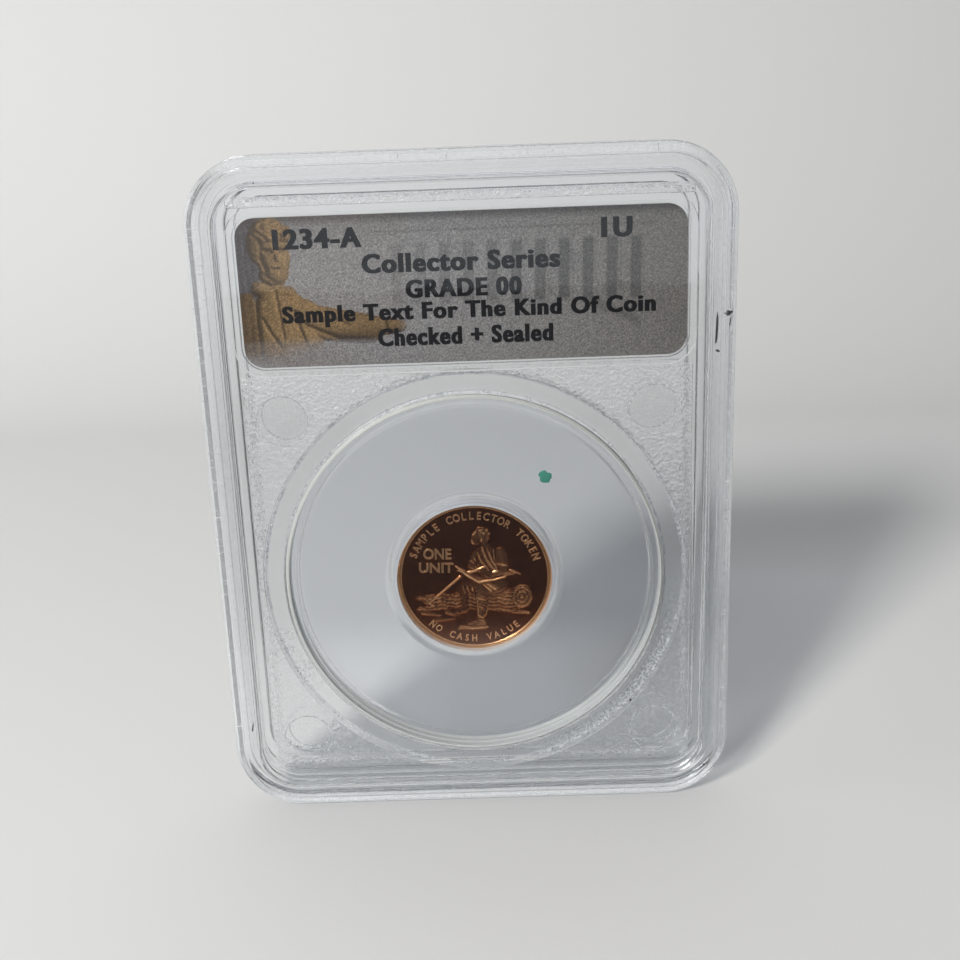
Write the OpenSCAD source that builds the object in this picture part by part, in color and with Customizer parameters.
// Sealed display case for one graded coin: two clear shells welded edge to edge, a clear disc that
// grips the coin, and a pair of printed cards back to back over it. The case stands upright on its
// bottom edge: X is the width, Z the height, and the front faces -Y. Millimetres.

/* [Case] */
// Width of the case
case_w = 62.4; // [61:0.2:70]
// Height of the case
case_h = 81.2; // [80:0.2:90]
// Thickness of the case over its front and rear stacking rims
case_t = 8; // [7.6:0.1:9]
// Radius of the four outer corners
corner_r = 8; // [7:0.1:10]
// Thickness of the outer wall
wall_t = 2.9; // [2.5:0.1:3.2]
// Thickness of the front and rear panels
panel_t = 1.3; // [1:0.1:1.6]
// How far each panel lies below its stacking rim
panel_drop = 1.2; // [0.9:0.1:1.3]

/* [Rims] */
// Rounding of the outer edge, front and rear
shoulder_r = 0.75; // [0.4:0.05:0.9]
// Depth of the ledges outside the stacking rims
ledge_drop = 0.7; // [0.4:0.05:0.8]
// Distance from the outer edge to the front stacking rim
front_rim_in = 1.35; // [1.1:0.05:1.6]
// Width of the front stacking rim at its foot
front_rim_w = 2; // [1.6:0.05:2.1]
// Distance from the outer edge to the rear stacking rim, which nests inside the next front rim
rear_rim_in = 3.6; // [3.55:0.05:3.8]
// Width of the rear stacking rim at its foot
rear_rim_w = 1.2; // [1:0.05:1.4]
// Rounding of the rims' crests and feet
rim_round = 0.3; // [0.15:0.05:0.35]
// Distance from the outer edge to the start of the grained panel field
field_in = 4.8; // [4.7:0.1:5.2]
// Depth of the grained field's edge step, inside the shells
field_step = 0.08; // [0.04:0.01:0.15]

/* [Weld] */
// Width of the tongue that is welded into the rear shell
tongue_w = 0.9; // [0.6:0.05:1]
// Length of the tongue
tongue_l = 0.8; // [0.5:0.05:1]
// Distance from the outer edge to the tongue
tongue_in = 1.5; // [1.2:0.05:1.6]
// Gap left round the tongue
tongue_gap = 0.06; // [0.03:0.01:0.1]
// Gap left between the shells' edges
seam_gap = 0.06; // [0.03:0.01:0.1]

/* [Coin] */
// Diameter of the coin
coin_d = 19.05; // [17.9:0.05:24.3]
// Thickness of the coin at its rim
coin_t = 1.52; // [1.3:0.01:1.8]
// Width of the coin's raised rim
coin_rim_w = 0.62; // [0.4:0.02:0.9]
// Depth of the coin's field below its rim
coin_field = 0.14; // [0.08:0.01:0.2]
// Height of the coin's centre above the bottom edge
coin_z = 29.85; // [29.5:0.05:31]

/* [Coin disc] */
// Diameter of the disc that grips the coin
disc_d = 46.4; // [44:0.1:46.6]
// Thickness of the disc's rim and of its collar round the coin
disc_t = 2.9; // [2.2:0.1:2.9]
// Thickness of the disc's web
disc_web_t = 2.3; // [1.6:0.1:2.6]
// Width of the disc's rim
disc_rim_w = 1.2; // [0.8:0.1:2]
// Width of the collar round the coin
disc_collar_w = 0.9; // [0.5:0.1:1.5]
// Inside radius of the pocket wall round the disc
pocket_r = 23.4; // [23.3:0.05:24]
// Thickness of the pocket wall
pocket_wall = 2.5; // [1.5:0.1:2.6]

/* [Labels] */
// Width of the two printed cards
label_w = 51.4; // [46:0.1:51.6]
// Height of the two printed cards
label_h = 17.2; // [14:0.1:17.6]
// Thickness of each card
label_t = 0.3; // [0.2:0.02:0.4]
// Corner radius of the cards
label_r = 2.3; // [1:0.1:3]
// Height of the cards' bottom edge above the bottom of the case
label_z = 57.1; // [57:0.1:57.4]
// Gap between the cards and their pocket wall
label_gap = 0.35; // [0.2:0.05:0.4]
// Thickness of the wall round the cards
label_wall = 0.8; // [0.5:0.1:0.9]
// Play of the cards between the front panel and the frame that presses them
label_play = 0.08; // [0.04:0.01:0.12]
// Width of the foil seal on the rear card
seal_w = 9; // [6:0.5:10]
// Thickness of the foil seal
seal_t = 0.06; // [0.04:0.01:0.1]

/* [Moulding marks] */
// Radius of the round marks that the ejector pins leave inside the shells
pin_r = 3; // [2:0.1:3.2]
// Depth of those marks
pin_depth = 0.1; // [0.05:0.01:0.2]
// Sideways distance from the middle to each mark
pin_x = 22; // [21:0.1:22.5]
// Distance above and below the coin's centre to each mark
pin_dz = 20.8; // [20:0.1:21]

/* [Hidden] */

half_t = case_t / 2;
panel_out = half_t - panel_drop;            // outer face of a panel, measured from the seam
panel_in = panel_out - panel_t;             // inner face of a panel
seam = seam_gap / 2;                        // each shell's edge stops this far from the middle
label_front = panel_in - label_play;        // front of the front card
label_back = label_front - 2 * label_t;     // back of the rear card
label_mid_z = label_z + label_h / 2;
seal_x = label_w / 2 - seal_w;              // middle of the seal, from the case's middle
press_in = 1.7;                             // the press frame stands this far inside the cards' edge
press_wall = 0.9;
press_end = label_back - label_play / 2;    // the press frame stops just behind the cards
lap = 0.6;                                  // how far joined solids run into each other
arc_n = 5;                                  // straight pieces in each rounded edge
disc_cham = 0.25;
coin_cham = 0.08;
reach = 40;                                 // longer than any solid that is cut away

// Points of an arc round [x, y]
function arc(x, y, r, from, to) =
    [for (i = [0:arc_n]) let (a = from + (to - from) * i / arc_n) [x + r * cos(a), y + r * sin(a)]];

// Outline of a stacking rim between its two feet, from the outer ledge to the inner level
function rim_points(start, width, inner_level) = concat(
    arc(start - rim_round, half_t - ledge_drop + rim_round, rim_round, -90, 0),
    arc(start + rim_round, half_t - rim_round, rim_round, 180, 90),
    arc(start + width - rim_round, half_t - rim_round, rim_round, 90, 0),
    arc(start + width + rim_round, inner_level + rim_round, rim_round, 180, 270));

// Section of a shell from its outer edge inwards: [distance in from the edge, height above the seam]
function shell_section(rim_start, rim_width) = concat(
    [[0, seam]],
    arc(shoulder_r, half_t - ledge_drop - shoulder_r, shoulder_r, 180, 90),
    rim_points(rim_start, rim_width, panel_out),
    [[field_in + lap, panel_out], [field_in + lap, panel_in + field_step],
     [field_in, panel_in + field_step], [field_in, panel_in]],
    arc(wall_t + rim_round, panel_in - rim_round, rim_round, 90, 180),
    [[wall_t, seam]]);

module rounded_rect(w, h, r) {
    union() {
        square([w - 2 * r, h], center = true);
        square([w, h - 2 * r], center = true);
        for (x = [-1, 1], y = [-1, 1])
            translate([x * (w / 2 - r), y * (h / 2 - r)]) circle(r = r, $fn = 64);
    }
}

// Rounded plate in front of the seam: centre height z, lower and upper face
module plate(w, h, r, z, low, high) {
    translate([0, z, low]) linear_extrude(high - low) rounded_rect(w, h, r);
}

// Disc or ring wall round the coin's centre
module coin_cylinder(r, low, high) {
    translate([0, coin_z, low]) cylinder(r = r, h = high - low, $fn = 180);
}

// Sweeps a section, given as for shell_section, round the outline of the case
module round_outline(section) {
    turned = [for (p = section) [corner_r - p[0], p[1]]];
    across = case_w / 2 - corner_r;
    up = case_h / 2 - corner_r;
    translate([0, case_h / 2, 0]) {
        for (side = [-1, 1]) {
            translate([side * across, 0, 0]) mirror([side < 0 ? 1 : 0, 0, 0])
                rotate([90, 0, 0]) translate([0, 0, -up]) linear_extrude(2 * up) polygon(turned);
            translate([0, side * up, 0]) rotate([0, 0, 90 * side]) rotate([90, 0, 0])
                translate([0, 0, -across]) linear_extrude(2 * across) polygon(turned);
        }
        for (i = [0:3])
            translate([(i == 0 || i == 3 ? 1 : -1) * across, (i < 2 ? 1 : -1) * up, 0])
                rotate([0, 0, 90 * i]) rotate_extrude(angle = 90, $fn = 96) polygon(turned);
    }
}

module box_section(start, width, low, high) {
    round_outline([[start, low], [start + width, low], [start + width, high], [start, high]]);
}

// Wall that stands up from a panel round the coin disc's pocket
module pocket_ring(inner_r) {
    difference() {
        coin_cylinder(pocket_r + pocket_wall, seam, panel_in + lap);
        coin_cylinder(inner_r, seam - 1, panel_in + lap + 1);
    }
}

// Wall that keeps the two cards in place, from the panel down to level low
module card_wall(low) {
    grow = 2 * label_gap;
    difference() {
        plate(label_w + grow + 2 * label_wall, label_h + grow + 2 * label_wall,
              label_r + label_gap + label_wall, label_mid_z, low, panel_in + lap);
        plate(label_w + grow, label_h + grow, label_r + label_gap, label_mid_z,
              low - 1, panel_in + lap + 1);
    }
}

module pin_marks() {
    for (x = [-1, 1], z = [-1, 1])
        translate([x * pin_x, coin_z + z * pin_dz, panel_in - 1])
            cylinder(r = pin_r, h = 1 + field_step + pin_depth, $fn = 96);
}

// Panel with its grained field, inside the rim's section
module panel() {
    inset = 2 * field_in;
    plate(case_w - inset, case_h - inset, corner_r - field_in, case_h / 2,
          panel_in + field_step, panel_out);
}

// Clear window over the coin and over the cards, at the panel's full thickness
module windows() {
    coin_cylinder(pocket_r + pocket_wall, panel_in, panel_out);
    plate(label_w + 2 * (label_gap + label_wall), label_h + 2 * (label_gap + label_wall),
          label_r + label_gap + label_wall, label_mid_z, panel_in, panel_out);
}

module shell_body(rim_start, rim_width, inner_r) {
    difference() {
        union() {
            round_outline(shell_section(rim_start, rim_width));
            panel();
            windows();
            pocket_ring(inner_r);
        }
        pin_marks();
    }
}

// Stands a shape drawn flat, with its height towards the viewer, upright and facing -Y
module upright() { rotate([90, 0, 0]) children(); }

module front_shell() {
    color([0.8, 0.83, 0.85, 0.35]) upright() union() {
        shell_body(front_rim_in, front_rim_w, pocket_r);
        card_wall(seam + lap);
        box_section(tongue_in, tongue_w, -tongue_l, seam + lap);
    }
}

module rear_shell() {
    color([0.78, 0.81, 0.86, 0.35]) rotate([0, 0, 180]) upright() difference() {
        union() {
            shell_body(rear_rim_in, rear_rim_w, pocket_r - 0.1);
            press_frame();
        }
        box_section(tongue_in - tongue_gap, tongue_w + 2 * tongue_gap, seam - 1, tongue_l + tongue_gap);
    }
}

// Frame on the rear shell that presses the two cards against the front panel
module press_frame() {
    w = label_w - 2 * press_in;
    h = label_h - 2 * press_in;
    difference() {
        plate(w, h, label_r - 1, label_mid_z, -press_end, panel_in + lap);
        plate(w - 2 * press_wall, h - 2 * press_wall, label_r - 1.5, label_mid_z,
              -press_end - 1, panel_in + lap + 1);
    }
}

module coin_disc() {
    r_hole = coin_d / 2 + 0.02;
    r_out = disc_d / 2;
    r_web = r_out - disc_rim_w;
    r_collar = r_hole + disc_collar_w;
    face = disc_t / 2;
    web = disc_web_t / 2;
    slope = face - web;
    top = [[r_hole, face], [r_collar, face], [r_collar + slope, web], [r_web - slope, web],
           [r_web, face], [r_out - disc_cham, face], [r_out, face - disc_cham]];
    bottom = [for (i = [len(top) - 1:-1:0]) [top[i][0], -top[i][1]]];
    color([0.8, 0.83, 0.86, 0.35]) upright() translate([0, coin_z, 0])
        rotate_extrude($fn = 180) polygon(concat(top, bottom));
}

module coin() {
    r = coin_d / 2;
    edge = coin_t / 2;
    field = edge - coin_field;
    top = [[0, field], [r - coin_rim_w - coin_field, field], [r - coin_rim_w, edge],
           [r - coin_cham, edge], [r, edge - coin_cham]];
    bottom = [for (i = [len(top) - 1:-1:0]) [top[i][0], -top[i][1]]];
    color([0.55, 0.3, 0.17]) upright() translate([0, coin_z, 0])
        rotate_extrude($fn = 180) polygon(concat(top, bottom));
}

module card(front) {
    upright() plate(label_w, label_h, label_r, label_mid_z, front - label_t, front);
}

module front_label() { color([0.43, 0.41, 0.39]) card(label_front); }

module rear_label() { color([0.86, 0.86, 0.84]) card(label_front - label_t); }

module seal_foil() {
    color([0.75, 0.77, 0.8]) upright()
        translate([-seal_x, 0, 0])
            plate(seal_w, seal_w, 1, label_mid_z, label_back - seal_t, label_back);
}

front_shell();
rear_shell();
coin_disc();
coin();
front_label();
rear_label();
seal_foil();
